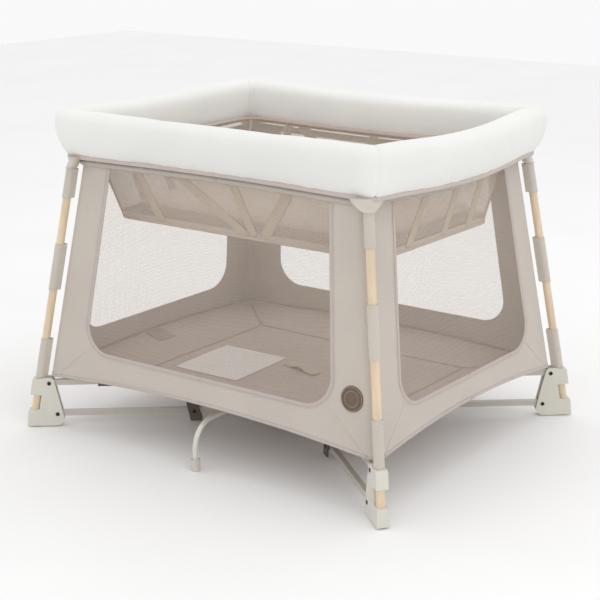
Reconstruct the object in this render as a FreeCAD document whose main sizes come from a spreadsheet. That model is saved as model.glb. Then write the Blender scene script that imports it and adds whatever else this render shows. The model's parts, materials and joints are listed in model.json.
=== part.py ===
"""Travel play yard: a centre hub, four folding corner frames, soft sides, and a lift-out infant insert.

Lengths are millimetres.  X runs along the long side, Y along the short side, Z up.  The origin is on the
floor under the middle of the yard.  Each corner is designed once in its own frame, whose X runs outward
along the plan diagonal, and is then turned to its four places.
"""
import FreeCAD, Part, Sketcher
import os
from math import atan2, cos, degrees, hypot, radians, sin

Vector = FreeCAD.Vector
Rotation = FreeCAD.Rotation
Placement = FreeCAD.Placement

doc = FreeCAD.newDocument("play_yard")

# ---------------------------------------------------------------- driving dimensions
SIZES = {
    # corner legs, on the plan diagonal
    "leg_foot_x": 492.0, "leg_foot_y": 407.0, "leg_lean_run": 114.5, "leg_lean_rise": 620.0,
    "leg_radius": 9.25, "leg_bottom_z": 8.0, "leg_length": 624.0, "leg_fit": 0.06,
    # parallel base links between hub and feet
    "hub_pin_run": 55.0, "foot_pin_run": 578.6, "clip_pin_run": 257.0, "lower_link_z": 31.0,
    "link_rise": 76.5, "link_shift": 16.9, "link_width": 12.0, "link_height": 13.0, "link_wall": 1.5,
    "link_stub": 8.0, "slot_width": 13.6,
    # rivets and pins
    "pin_radius": 3.0, "pin_fit": 0.05, "open_pin_fit": 0.3, "rivet_head_radius": 4.6,
    "rivet_head_height": 1.2,
    # foot bracket
    "foot_width": 26.0, "foot_bottom_z": 2.5, "foot_top_z": 120.5, "foot_outer_run": 650.0,
    "foot_inner_run": 559.0, "pad_length": 30.0, "pad_width": 18.0,
    # cap at the top of each leg
    "cap_bottom_z": 619.0, "cap_height": 27.0, "cap_neck_radius": 13.5, "cap_wing": 37.0,
    "cap_depth": 16.0, "cap_run": 516.0, "cap_collar_height": 18.0,
    # clip that ties the two links together part-way along
    "clip_width": 25.0, "clip_wall": 3.2, "clip_length_below": 24.0, "clip_length_above": 12.5,
    "clip_depth": 28.0, "bridge_inner": 8.0, "bridge_low": 12.0, "bridge_high": 29.0,
    # padded rim cover
    "rim_half_x": 455.0, "rim_half_y": 365.0, "rim_depth": 68.0, "rim_bottom_z": 648.0,
    "rim_top_z": 760.0, "rim_pad": 14.0, "rim_corner": 60.0, "rim_inner_corner": 24.0,
    # soft sides
    "panel_thickness": 3.0, "panel_top_z": 612.0, "panel_bottom_z": 130.0, "panel_inset": 12.0,
    "panel_edge_gap": 10.0, "rail_radius": 7.0, "rail_z": 632.0, "rail_end_x": 360.0,
    "rail_end_y": 290.0, "half_gap": 0.3, "sleeve_wall": 2.0, "sleeve_fit": 0.3,
    # floor cloth
    "floor_z": 120.5, "floor_thickness": 3.0, "floor_half_x": 440.0, "floor_half_y": 355.0,
    "floor_corner": 62.0, "floor_hole_radius": 18.0,
    # hub
    "hub_radius": 84.0, "hub_bottom_z": 15.0, "hub_top_z": 113.0, "hub_slot_inner": 43.0,
    "hub_upper_slot_inner": 60.0, "hub_well_radius": 12.3, "hub_well_z": 42.0, "cover_radius": 47.0,
    "cover_thickness": 4.0,
    # latch plunger, its spring and the pull strap
    "latch_stem_radius": 5.0, "latch_flange_radius": 12.2,
    "latch_flange_z": 58.0, "latch_flange_height": 6.0, "latch_top_z": 126.0,
    "spring_radius": 8.5, "spring_wire": 0.8, "spring_pitch": 7.0,
    "strap_length": 104.0, "strap_width": 26.0, "strap_thickness": 2.0,
    # middle support legs
    "support_radius": 6.0, "support_pin_y": 62.0, "support_z": 107.0, "support_bend": 58.0,
    "support_foot_y": 396.0, "support_foot_radius": 10.5, "support_foot_height": 27.0,
    "support_pin_radius": 2.5,
    # infant insert and its pad
    "insert_bottom_z": 492.0, "insert_top_z": 656.0, "insert_bottom_x": 361.0, "insert_bottom_y": 229.0,
    "insert_top_x": 384.0, "insert_top_y": 294.0, "insert_wall": 3.0,
    "mattress_half_x": 346.0, "mattress_half_y": 220.0, "mattress_height": 37.0,
    "mattress_corner": 45.0,
}

sheet = doc.addObject("Spreadsheet::Sheet", "sizes")
for row, (word, number) in enumerate(SIZES.items(), start=1):
    sheet.set(f"A{row}", word)
    sheet.set(f"B{row}", str(number))
    sheet.setAlias(f"B{row}", word)
doc.recompute()


def size(word):
    """The number in the sheet under this alias."""
    return float(sheet.get(word))


# ---------------------------------------------------------------- derived places
DIAGONAL = atan2(size("leg_foot_y"), size("leg_foot_x"))
LEG_RUN = hypot(size("leg_foot_x"), size("leg_foot_y"))
LEAN = atan2(size("leg_lean_run"), size("leg_lean_rise"))
UPPER_LINK_Z = size("lower_link_z") + size("link_rise")
X_AXIS, Y_AXIS, Z_AXIS = Vector(1, 0, 0), Vector(0, 1, 0), Vector(0, 0, 1)
ACROSS = Rotation(X_AXIS, 90)          # a cylinder turned to lie across the diagonal
ALONG = Rotation(Y_AXIS, 90)           # a cylinder turned to lie along local X
WEDGE_ON_Y = Rotation(X_AXIS, 90)      # a wedge whose growth runs up, with its depth towards -Y
WEDGE_ON_X = Rotation(Vector(1, 1, 1), 120)  # a wedge whose growth runs up, with its depth towards +X


def leg_axis_run(z):
    """Distance of the leg's axis from the centre at height z."""
    return LEG_RUN - z * size("leg_lean_run") / size("leg_lean_rise")


def on_leg(z):
    """Placement of something that starts at height z on the leg and runs up it."""
    return Placement(Vector(leg_axis_run(z), 0, z), Rotation(Y_AXIS, -degrees(LEAN)))


# ---------------------------------------------------------------- document helpers
def bind(obj, **rules):
    """Set each property by an expression in which sheet aliases are written as plain words."""
    for prop, rule in rules.items():
        words = [f"sizes.{w}" if w in SIZES else w for w in str(rule).split()]
        obj.setExpression(prop, " ".join(words))
    return obj


def primitive(kind, name, place, **rules):
    obj = doc.addObject(f"Part::{kind}", name)
    obj.Placement = place
    return bind(obj, **rules)


def cylinder(name, place, radius, height):
    return primitive("Cylinder", name, place, Radius=radius, Height=height)


def box(name, place, length, width, height):
    return primitive("Box", name, place, Length=length, Width=width, Height=height)


def at(x, y, z, turn=Rotation()):
    return Placement(Vector(x, y, z), turn)


def cross_pin(name, run, z, radius, width):
    """A round pin or bore across the diagonal, centred on it; width is a sheet alias."""
    half = size(width) / 2
    return cylinder(name, at(run, half, z, ACROSS), radius, width)


def join(name, *parts):
    obj = doc.addObject("Part::MultiFuse", name)
    obj.Shapes = list(parts)
    return obj


def cut(name, base, *tools):
    tool = tools[0] if len(tools) == 1 else join(name + "_tools", *tools)
    obj = doc.addObject("Part::Cut", name)
    obj.Base = base
    obj.Tool = tool
    return obj


def round_upright(name, blank, radius):
    """The same block with its four upright edges rounded."""
    doc.recompute()
    rounded = doc.addObject("Part::Fillet", name)
    rounded.Base = blank
    rounded.Edges = [(n, radius, radius) for n, edge in enumerate(blank.Shape.Edges, start=1)
                     if abs(edge.tangentAt(edge.FirstParameter).z) > 0.9]
    return rounded


def group(name, *parts):
    obj = doc.addObject("Part::Compound", name)
    obj.Links = list(parts)
    return obj


def plate(name, points, width, roundings=()):
    """A flat piece across the diagonal plane: a body with one sketch, its pad and rounded corners.

    points are (run, z) pairs of expressions; roundings are (corner number, radius) pairs.
    """
    body = doc.addObject("PartDesign::Body", name)
    plane = next(f for f in body.Origin.OriginFeatures if f.Role == "XZ_Plane")
    sketch = body.newObject("Sketcher::SketchObject", name + "_outline")
    sketch.AttachmentSupport = [(plane, "")]
    sketch.MapMode = "FlatFace"
    values = [(evaluate(run), evaluate(z)) for run, z in points]
    for i, (start, end) in enumerate(zip(values, values[1:] + values[:1])):
        sketch.addGeometry(Part.LineSegment(Vector(*start, 0), Vector(*end, 0)), False)
    for i, (run, z) in enumerate(points):
        tie_corner(sketch, i, run, z)
    pad = body.newObject("PartDesign::Pad", name + "_pad")
    pad.Profile = sketch
    pad.SideType = "Symmetric"
    bind(pad, Length=width)
    doc.recompute()
    last = pad
    for number, (corner, radius) in enumerate(roundings):
        edge = corner_edge(last.Shape, values[corner])
        fillet = body.newObject("PartDesign::Fillet", f"{name}_round_{number}")
        fillet.Base = (last, [edge])
        fillet.Radius = radius
        doc.recompute()
        last = fillet
    body.Tip = last
    return body


def evaluate(rule):
    """The value of a rule written in sheet aliases, numbers, + and -."""
    total, sign = 0.0, 1.0
    for word in str(rule).split():
        if word in "+-":
            sign = 1.0 if word == "+" else -1.0
        else:
            total += sign * (size(word) if word in SIZES else float(word))
    return total


def tie_corner(sketch, index, run, z):
    """Tie one corner of a sketch to its two rules and join it to the line before."""
    before = (index - 1) % sketch.GeometryCount
    sketch.addConstraint(Sketcher.Constraint("Coincident", before, 2, index, 1))
    for kind, rule in (("DistanceX", run), ("DistanceY", z)):
        number = sketch.addConstraint(Sketcher.Constraint(kind, -1, 1, index, 1, evaluate(rule)))
        words = [f"sizes.{w}" if w in SIZES else w for w in str(rule).split()]
        sketch.setExpression(f"Constraints[{number}]", " ".join(words))


def corner_edge(shape, corner):
    """Name of the edge that stands across the diagonal plane at this outline corner."""
    for number, edge in enumerate(shape.Edges, start=1):
        ends = [v.Point for v in edge.Vertexes]
        if len(ends) == 2 and all(hypot(p.x - corner[0], p.z - corner[1]) < 0.01 for p in ends):
            return f"Edge{number}"
    raise RuntimeError(f"no edge at {corner}")


# ---------------------------------------------------------------- corner pieces, in the corner's frame
def make_leg_pole():
    pole = cylinder("pole_blank", on_leg(size("leg_bottom_z")), "leg_radius", "leg_length")
    ends = doc.addObject("Part::Chamfer", "pole")
    ends.Base = pole
    ends.Edges = [(n, 1.0, 1.0) for n in rim_edges(pole)]
    return ends


def rim_edges(obj):
    """Numbers of the closed circular edges of a primitive."""
    doc.recompute()
    return [n for n, edge in enumerate(obj.Shape.Edges, start=1)
            if edge.isClosed() and not edge.isSeam(obj.Shape.Faces[0])]


def make_foot_shell():
    outline = [
        ("foot_outer_run", "foot_bottom_z"),
        ("foot_outer_run - 3.5", "foot_bottom_z + 38.5"),
        ("foot_outer_run - 29", "foot_bottom_z + 40.5"),
        ("foot_outer_run - 35.5", "foot_top_z - 42"),
        ("foot_outer_run - 10", "foot_top_z - 39.5"),
        ("foot_outer_run - 16", "foot_top_z - 3"),
        ("foot_outer_run - 44", "foot_top_z"),
        ("foot_inner_run + 26.7", "foot_top_z"),
        ("foot_inner_run", "foot_bottom_z"),
    ]
    shell = plate("foot_blank", outline, "foot_width", [(7, 11.0), (8, 18.0), (0, 3.0), (5, 2.0), (1, 2.0)])
    link_space = plate("foot_link_space", [
        ("foot_inner_run - 12", "lower_link_z - 13.5"),
        ("foot_pin_run + 13.5", "lower_link_z - 13.5"),
        ("foot_pin_run + 14", "lower_link_z + 12"),
        ("foot_pin_run + 28", "lower_link_z + link_rise - 14"),
        ("foot_pin_run + 27.5", "foot_top_z + 5"),
        ("foot_inner_run - 12", "foot_top_z + 5"),
    ], "slot_width")
    recess = [
        ("foot_outer_run - 46", "foot_bottom_z + 42"),
        ("foot_outer_run - 26", "foot_bottom_z + 42"),
        ("foot_outer_run - 32", "foot_top_z - 44"),
        ("foot_outer_run - 39.5", "foot_top_z - 44"),
    ]
    recess_tool = plate("foot_recess", recess, "foot_width + 2")
    recess_core = plate("foot_recess_core", recess, "foot_width - 2.4")
    recess_faces = cut("foot_recess_faces", recess_tool, recess_core)
    bore = cylinder("foot_leg_bore", on_leg(size("leg_bottom_z") - 0.5), "leg_radius + leg_fit", "leg_length")
    pins = [cross_pin(f"foot_bore_{i}", run, z, "pin_radius", "foot_width")
            for i, (run, z) in enumerate(pin_places("foot_pin_run"))]
    return cut("foot", shell, link_space, recess_faces, bore, *pins)


def pin_places(run_word):
    """The lower and upper pin at one place along the links."""
    run = size(run_word)
    return (run, size("lower_link_z")), (run + size("link_shift"), UPPER_LINK_Z)


def make_foot_pad():
    place = at(size("foot_outer_run") - 36, -size("pad_width") / 2, 0)
    return round_upright("pad", box("pad_blank", place, "pad_length", "pad_width", "foot_bottom_z"), 5.0)


def rivet(name, run, z, grip):
    """A pin as long as the width it grips, with a low head at each end."""
    half = evaluate(grip) / 2
    shank = cylinder(name + "_shank", at(run, half, z, ACROSS), "pin_radius", grip)
    heads = []
    for side, y in (("near", -half), ("far", half + size("rivet_head_height"))):
        heads.append(cylinder(f"{name}_{side}", at(run, y, z, ACROSS), "rivet_head_radius", "rivet_head_height"))
    return join(name, shank, *heads)


def make_rivets(name, run_word, grip):
    places = pin_places(run_word)
    return group(name, *[rivet(f"{name}_{i}", run, z, grip) for i, (run, z) in enumerate(places)])


def make_cap():
    neck = primitive("Circle", "cap_neck", at(leg_axis_run(size("cap_bottom_z")), 0, size("cap_bottom_z")),
                     Radius="cap_neck_radius")
    top_z = size("cap_bottom_z") + size("cap_height")
    shoulder = primitive("Ellipse", "cap_shoulder", at(size("cap_run"), 0, top_z - 8, Rotation(Z_AXIS, 90)),
                         MajorRadius="cap_wing - 4", MinorRadius="cap_depth - 2")
    brim = primitive("Ellipse", "cap_brim", at(size("cap_run"), 0, top_z, Rotation(Z_AXIS, 90)),
                     MajorRadius="cap_wing", MinorRadius="cap_depth")
    flare = doc.addObject("Part::Loft", "cap_flare")
    flare.Sections = [neck, shoulder, brim]
    flare.Solid = True
    collar = cylinder("cap_collar", on_leg(size("cap_bottom_z") - 10), "cap_neck_radius - 3", "cap_collar_height")
    bore = cylinder("cap_bore", on_leg(size("cap_bottom_z") - 12), "leg_radius + leg_fit", "cap_collar_height")
    return cut("cap", join("cap_solid", flare, collar), bore)


def make_link(name, first_run, shift, z, fits):
    """One flat tube from the hub to the foot, with its three pin bores."""
    start = first_run - size("link_stub")
    wide, high, wall = size("link_width"), size("link_height"), size("link_wall")
    length = "foot_pin_run - hub_pin_run + link_stub + link_stub"
    outer = box(f"{name}_outer", at(start, -wide / 2, z - high / 2), length, "link_width", "link_height")
    inner = box(f"{name}_inner", at(start, -wide / 2 + wall, z - high / 2 + wall), length,
                "link_width - link_wall - link_wall", "link_height - link_wall - link_wall")
    bores = [cross_pin(f"{name}_bore_{i}", size(word) + shift, z, f"pin_radius + {fit}", "slot_width")
             for i, (word, fit) in enumerate(zip(("hub_pin_run", "clip_pin_run", "foot_pin_run"), fits))]
    return cut(name, outer, inner, *bores)


def make_clip():
    """Dark channel that holds both links: two cheeks joined by a bridge outside the lower link."""
    (low_run, low_z), (high_run, high_z) = pin_places("clip_pin_run")
    slope = size("link_shift") / size("link_rise")
    below, above = size("clip_length_below"), size("clip_length_above")
    half = size("clip_depth") / 2
    outline = [
        (low_run - half - slope * below, low_z - below),
        (low_run + half - slope * below, low_z - below),
        (high_run + half + slope * above, high_z + above),
        (high_run - half + slope * above, high_z + above),
    ]
    blank = plate("clip_blank", outline, "clip_width")
    space = plate("clip_space", [
        (low_run - half - 20, low_z - below - 5), (low_run + half + 20, low_z - below - 5),
        (high_run + half + 20, high_z + above + 5), (high_run - half - 20, high_z + above + 5),
    ], "clip_width - clip_wall - clip_wall - clip_wall")
    inner, low, high = size("bridge_inner"), size("bridge_low"), size("bridge_high")
    bridge = plate("clip_bridge", [
        (low_run + inner + slope * low, low_z + low), (low_run + half + slope * low - 2, low_z + low),
        (low_run + half + slope * high - 2, low_z + high), (low_run + inner + slope * high, low_z + high),
    ], "clip_width - 1")
    channel = join("clip_channel", cut("clip_cheeks", blank, space), bridge)
    pins = [cross_pin(f"clip_bore_{i}", run, z, "pin_radius", "clip_width")
            for i, (run, z) in enumerate(pin_places("clip_pin_run"))]
    return cut("clip", channel, *pins)


# ---------------------------------------------------------------- soft pieces of the +X +Y quarter
def make_rim_quarter():
    """A quarter of the padded cover: an upside-down channel round the top."""
    def ring_box(name, inset, corner, low, rise):
        wide = f"rim_half_x + rim_half_x - {inset} - {inset}"
        deep = f"rim_half_y + rim_half_y - {inset} - {inset}"
        place = at(-size("rim_half_x") + evaluate(inset), -size("rim_half_y") + evaluate(inset), low)
        return round_upright(name, box(name + "_box", place, wide, deep, rise), corner)
    low = size("rim_bottom_z")
    corner, inner = size("rim_corner"), size("rim_inner_corner")
    pad = size("rim_pad")
    outer = ring_box("rim_outer", "0", corner, low, "rim_top_z - rim_bottom_z")
    hole = ring_box("rim_hole", "rim_depth", inner, low - 1, "rim_top_z - rim_bottom_z + 2")
    space_out = ring_box("rim_space_out", "rim_pad", corner - pad, low - 1, "rim_top_z - rim_bottom_z - rim_pad")
    space_in = ring_box("rim_space_in", "rim_depth - rim_pad", inner + pad, low - 2,
                        "rim_top_z - rim_bottom_z + 4")
    ring = cut("rim_ring", outer, hole, cut("rim_space", space_out, space_in))
    quarter = box("rim_quarter_box", at(size("half_gap"), size("half_gap"), low - 5),
                  "rim_half_x + 10", "rim_half_y + 10", "rim_top_z - rim_bottom_z + 10")
    both = doc.addObject("Part::Common", "rim_quarter")
    both.Base = ring
    both.Tool = quarter
    return both


def panel_edge(foot, z, gap):
    """Where the leg side of a panel is at height z, along X or Y."""
    share = cos(DIAGONAL) if foot == "leg_foot_x" else sin(DIAGONAL)
    return leg_axis_run(z) * share - gap


def make_side_quarter():
    """Half of a long side and half of a short side, the top rail in each, and the sleeves on the leg."""
    low, high = size("panel_bottom_z"), size("panel_top_z")
    inset, gap, thick = size("panel_inset"), size("panel_edge_gap"), size("panel_thickness")
    pieces = []
    for name, along, across, turn, sign in (
        ("long", "leg_foot_x", "leg_foot_y", WEDGE_ON_Y, -1),
        ("short", "leg_foot_y", "leg_foot_x", WEDGE_ON_X, 1),
    ):
        depth = [panel_edge(across, z, inset) for z in (low, high)]
        reach = [panel_edge(along, z, gap) for z in (low, high)]
        span = [sorted((sign * (d - thick / 2), sign * (d + thick / 2))) for d in depth]
        slab = doc.addObject("Part::Wedge", f"{name}_panel")
        slab.Placement = Placement(Vector(), turn)
        slab.Ymin, slab.Ymax = low, high
        slab.Xmin, slab.Xmax, slab.X2min, slab.X2max = 0.0, reach[0], 0.0, reach[1]
        slab.Zmin, slab.Zmax, slab.Z2min, slab.Z2max = *span[0], *span[1]
        bind(slab, Ymin="panel_bottom_z", Ymax="panel_top_z", Xmin="half_gap", X2min="half_gap")
        pieces.append(slab)
    rail_z, first = size("rail_z"), size("half_gap")
    long_y = panel_edge("leg_foot_y", rail_z, inset)
    short_x = panel_edge("leg_foot_x", rail_z, inset)
    pieces.append(cylinder("long_rail", at(first, long_y, rail_z, ALONG), "rail_radius",
                           "rail_end_x - half_gap"))
    pieces.append(cylinder("short_rail", at(short_x, size("rail_end_y"), rail_z, ACROSS), "rail_radius",
                           "rail_end_y - half_gap"))
    return group("side_quarter", *pieces)


SLEEVES = (("low", 123.5, 91.5), ("middle", 333.0, 108.0), ("high", 549.0, 52.0))


def make_sleeves():
    """Three cloth sleeves that hold the sides to the leg."""
    pieces = []
    for name, z, height in SLEEVES:
        outer = cylinder(f"{name}_sleeve_outer", on_leg(z), "leg_radius + sleeve_wall", height)
        inner = cylinder(f"{name}_sleeve_inner", on_leg(z - 1), "leg_radius + sleeve_fit", height + 2)
        pieces.append(cut(f"{name}_sleeve", outer, inner))
    return group("sleeves", *pieces)


def make_floor_quarter():
    """A quarter of the floor cloth, with its outer corner cut off and room for the strap in the middle."""
    first = size("half_gap")
    slab = box("floor_slab", at(first, first, size("floor_z")), "floor_half_x", "floor_half_y", "floor_thickness")
    hole = cylinder("floor_hole", at(0, 0, size("floor_z") - 1), "floor_hole_radius", "floor_thickness + 2")
    corner = size("floor_corner")
    clipped = doc.addObject("Part::Chamfer", "floor_clipped")
    doc.recompute()
    far = [n for n, e in enumerate(slab.Shape.Edges, start=1)
           if all(v.X > 100 and v.Y > 100 for v in e.Vertexes) and len({v.Z for v in e.Vertexes}) == 2]
    clipped.Base = slab
    clipped.Edges = [(n, corner, corner) for n in far]
    return cut("floor_quarter", clipped, hole)


# ---------------------------------------------------------------- hub, latch and strap
def corner_turn(sign_x, sign_y):
    """Plan angle of a corner's diagonal, in degrees."""
    return degrees(atan2(sign_y * sin(DIAGONAL), sign_x * cos(DIAGONAL)))


CORNERS = {
    "front_left": (-1, -1), "front_right": (1, -1), "back_left": (-1, 1), "back_right": (1, 1),
}


def spin(obj, angle, name):
    """The same piece turned about the yard's centre line."""
    turned = doc.addObject("Part::Compound", name)
    turned.Links = [obj]
    turned.Placement = Placement(Vector(), Rotation(Z_AXIS, angle))
    return turned


def make_hub():
    """Round block with a radial slot for each pair of links and for each middle support."""
    low = size("hub_bottom_z")
    blank = cylinder("hub_blank", at(0, 0, low), "hub_radius", "hub_top_z - hub_bottom_z")
    well = cylinder("hub_well", at(0, 0, size("hub_well_z")), "hub_well_radius", "hub_top_z - hub_bottom_z")
    half = size("slot_width") / 2
    lower = box("hub_lower_slot", at(size("hub_slot_inner"), -half, low - 1), "hub_radius", "slot_width",
                "link_rise - 3")
    upper = box("hub_upper_slot", at(size("hub_upper_slot_inner"), -half, low - 1), "hub_radius",
                "slot_width", "hub_top_z - hub_bottom_z + 2")
    slot = join("hub_slot", lower, upper)
    tools = [well]
    for name, (sign_x, sign_y) in CORNERS.items():
        tools.append(spin(slot, corner_turn(sign_x, sign_y), f"hub_slot_{name}"))
    support_slot = box("hub_support_slot", at(size("support_pin_y") - 10, -half, low - 1),
                       "hub_radius", "slot_width", "hub_top_z - hub_bottom_z + 2")
    for name, angle in (("front", -90), ("back", 90)):
        tools.append(spin(support_slot, angle, f"hub_support_slot_{name}"))
    return cut("hub_body", blank, *tools, *[spin(p, 0, p.Name + "_bore") for p in hub_pins("bore")])


def hub_pins(kind):
    """The ten pins that the links and supports turn on."""
    pins = []
    for i, (run, z) in enumerate(pin_places("hub_pin_run")):
        half = size("slot_width") / 2 + 8
        shank = cylinder(f"hub_pin_{kind}_{i}", at(run, half, z, ACROSS), "pin_radius", "slot_width + 16")
        for name, (sign_x, sign_y) in CORNERS.items():
            pins.append(spin(shank, corner_turn(sign_x, sign_y), f"hub_pin_{kind}_{i}_{name}"))
    half = size("slot_width") / 2 + 8
    shank = cylinder(f"support_pin_{kind}", at(size("support_pin_y"), half, size("support_z"), ACROSS),
                     "support_pin_radius", "slot_width + 16")
    for name, angle in (("front", -90), ("back", 90)):
        pins.append(spin(shank, angle, f"support_pin_{kind}_{name}"))
    return pins


def make_hub_cover():
    plate_disc = cylinder("cover_blank", at(0, 0, size("hub_top_z")), "cover_radius", "cover_thickness")
    bore = cylinder("cover_bore", at(0, 0, size("hub_top_z") - 1), "latch_stem_radius + 0.1",
                    "cover_thickness + 2")
    return cut("hub_cover", plate_disc, bore)


def make_latch():
    stem = cylinder("latch_stem", at(0, 0, size("latch_flange_z")), "latch_stem_radius",
                    "latch_top_z - latch_flange_z")
    flange = cylinder("latch_flange", at(0, 0, size("latch_flange_z")), "latch_flange_radius",
                      "latch_flange_height")
    return join("latch_plunger", stem, flange)


def make_latch_spring():
    """Wire coil between the plunger's flange and the hub cover."""
    low = size("latch_flange_z") + size("latch_flange_height") + 1.2
    height = size("hub_top_z") - low - 1.6
    radius, wire = size("spring_radius"), size("spring_wire")
    path = Part.makeHelix(size("spring_pitch"), height, radius)
    profile = Part.Wire(Part.makeCircle(wire, Vector(radius, 0, 0), Y_AXIS))
    coil = doc.addObject("Part::Feature", "latch_spring")
    coil.Shape = Part.Wire(path).makePipeShell([profile], True, True)
    coil.Placement = at(0, 0, low)
    return coil


def make_strap():
    """Webbing pull on the plunger, lying on the floor cloth."""
    long, wide = size("strap_length"), size("strap_width")
    turn = Rotation(Z_AXIS, -14)
    corner = turn.multVec(Vector(-long / 2, -wide / 2, 0))
    web = box("strap_web", at(corner.x, corner.y, size("latch_top_z"), turn), "strap_length", "strap_width",
              "strap_thickness")
    return round_upright("pull_strap", web, 6.0)


# ---------------------------------------------------------------- middle supports, along +Y
def make_support_leg():
    """Round tube under the floor that bends down to the ground outside the hem."""
    z, bend, foot_y = size("support_z"), size("support_bend"), size("support_foot_y")
    start = Vector(0, size("support_pin_y") - 8, z)
    turn_in = Vector(0, foot_y - bend, z)
    turn_out = Vector(0, foot_y, z - bend)
    middle = Vector(0, foot_y - bend * (1 - sin(radians(45))), z - bend * (1 - cos(radians(45))))
    foot = Vector(0, foot_y, size("support_foot_height") - 12)
    path = Part.Wire([Part.makeLine(start, turn_in), Part.Arc(turn_in, middle, turn_out).toShape(),
                      Part.makeLine(turn_out, foot)])
    profile = Part.Wire(Part.makeCircle(size("support_radius"), start, Y_AXIS))
    tube = doc.addObject("Part::Feature", "support_tube")
    tube.Shape = path.makePipeShell([profile], True, False)
    bore = cylinder("support_bore", at(-10, size("support_pin_y"), z, ALONG), "support_pin_radius + pin_fit", 20)
    return cut("support_leg", tube, bore)


def make_support_foot():
    height = size("support_foot_height")
    cup = cylinder("support_cup", at(0, size("support_foot_y"), 0), "support_foot_radius",
                   "support_foot_height")
    bore = cylinder("support_socket", at(0, size("support_foot_y"), height - 12), "support_radius + leg_fit",
                    "support_foot_height")
    doc.recompute()
    bottom = [n for n, e in enumerate(cup.Shape.Edges, start=1) if e.BoundBox.ZMax < 0.1]
    rounded = doc.addObject("Part::Fillet", "support_cup_rounded")
    rounded.Base = cup
    rounded.Edges = [(n, 2.0, 2.0) for n in bottom]
    return cut("support_foot", rounded, bore)


# ---------------------------------------------------------------- infant insert
def tub(name, inset, low, high):
    """A tapered block, wide end up, drawn in by inset on every side."""
    share = 1 / (size("insert_top_z") - size("insert_bottom_z"))
    def half(word_bottom, word_top, z):
        part = (z - size("insert_bottom_z")) * share
        return size(word_bottom) + (size(word_top) - size(word_bottom)) * part - inset
    block = doc.addObject("Part::Wedge", name)
    block.Placement = Placement(Vector(), WEDGE_ON_Y)
    bottom_x, top_x = (half("insert_bottom_x", "insert_top_x", z) for z in (low, high))
    bottom_y, top_y = (half("insert_bottom_y", "insert_top_y", z) for z in (low, high))
    block.Ymin, block.Ymax = low, high
    block.Xmin, block.Xmax, block.Zmin, block.Zmax = -bottom_x, bottom_x, -bottom_y, bottom_y
    block.X2min, block.X2max, block.Z2min, block.Z2max = -top_x, top_x, -top_y, top_y
    return block


def make_insert():
    low, high, wall = size("insert_bottom_z"), size("insert_top_z"), size("insert_wall")
    outer = bind(tub("insert_outer", 0.0, low, high), Ymin="insert_bottom_z", Ymax="insert_top_z")
    return cut("infant_insert", outer, tub("insert_space", wall, low + wall, high + 5))


def make_mattress():
    half_x, half_y = size("mattress_half_x"), size("mattress_half_y")
    low = size("insert_bottom_z") + size("insert_wall") + 0.5
    slab = box("mattress_slab", at(-half_x, -half_y, low), "mattress_half_x + mattress_half_x",
               "mattress_half_y + mattress_half_y", "mattress_height")
    return round_upright("mattress", slab, size("mattress_corner"))


# ---------------------------------------------------------------- assembly
NODES = {}


def node(name, obj):
    """Name a finished piece; the label becomes its file's name."""
    obj.Label = name
    NODES[name] = obj
    return obj


def place_corner(name, master, corner):
    """A corner piece turned to its corner."""
    return node(f"{name}_{corner}", spin(master, corner_turn(*CORNERS[corner]), f"{name}_{corner}"))


def place_quarter(name, master, corner):
    """A quarter piece mirrored or turned to its corner."""
    sign_x, sign_y = CORNERS[corner]
    label = f"{name}_{corner}"
    if sign_x * sign_y > 0:
        return node(label, spin(master, 0 if sign_x > 0 else 180, label))
    mirror = doc.addObject("Part::Mirroring", label)
    mirror.Source = master
    mirror.Normal = X_AXIS if sign_x < 0 else Y_AXIS
    return node(label, mirror)


links = {
    "lower_link": make_link("lower_link", size("hub_pin_run"), 0.0, size("lower_link_z"), ["pin_fit"] * 3),
    "upper_link": make_link("upper_link", size("hub_pin_run") + size("link_shift"), size("link_shift"),
                            UPPER_LINK_Z, ["pin_fit", "open_pin_fit", "open_pin_fit"]),
}
corner_masters = {
    "leg_pole": make_leg_pole(),
    "foot_shell": make_foot_shell(),
    "foot_pad": make_foot_pad(),
    "foot_rivets": make_rivets("foot_rivet", "foot_pin_run", "foot_width"),
    "leg_cap": make_cap(),
    "link_clip": make_clip(),
    "clip_rivets": make_rivets("clip_rivet", "clip_pin_run", "clip_width"),
    **links,
}
sides = make_side_quarter()
sleeves = make_sleeves()
quarter_masters = {
    "rim_cover": make_rim_quarter(),
    "floor_cloth": make_floor_quarter(),
}
sleeved_sides = group("sleeved_sides", sides, spin(sleeves, degrees(DIAGONAL), "sleeves_turned"))
quarter_masters["side_cloth"] = sleeved_sides

for corner in CORNERS:
    for name, master in corner_masters.items():
        place_corner(name, master, corner)
    for name, master in quarter_masters.items():
        place_quarter(name, master, corner)

node("hub_body", make_hub())
node("hub_cover", make_hub_cover())
node("hub_pins", group("hub_pins", *hub_pins("shank")))
node("latch_plunger", make_latch())
node("latch_spring", make_latch_spring())
node("pull_strap", make_strap())
support_leg, support_foot = make_support_leg(), make_support_foot()
for side, angle in (("front", 180), ("back", 0)):
    node(f"support_leg_{side}", spin(support_leg, angle, f"support_leg_{side}"))
    node(f"support_foot_{side}", spin(support_foot, angle, f"support_foot_{side}"))
node("infant_insert", make_insert())
node("mattress", make_mattress())

doc.recompute()

# ---------------------------------------------------------------- check and write
for obj in doc.Objects:
    if any(word in obj.State for word in ("Invalid", "Error")):
        raise RuntimeError(f"{obj.Name} is {obj.State}")
os.makedirs("parts", exist_ok=True)
for old in os.listdir("parts"):
    if old.endswith(".step") and old[:-5] not in NODES:
        os.remove(os.path.join("parts", old))
for name, obj in NODES.items():
    shape = obj.Shape
    if shape.isNull() or not shape.isValid() or not shape.Solids:
        raise RuntimeError(f"{name} has no valid solid")
    shape.exportStep(f"parts/{name}.step")
print(len(NODES), "nodes written")
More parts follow.
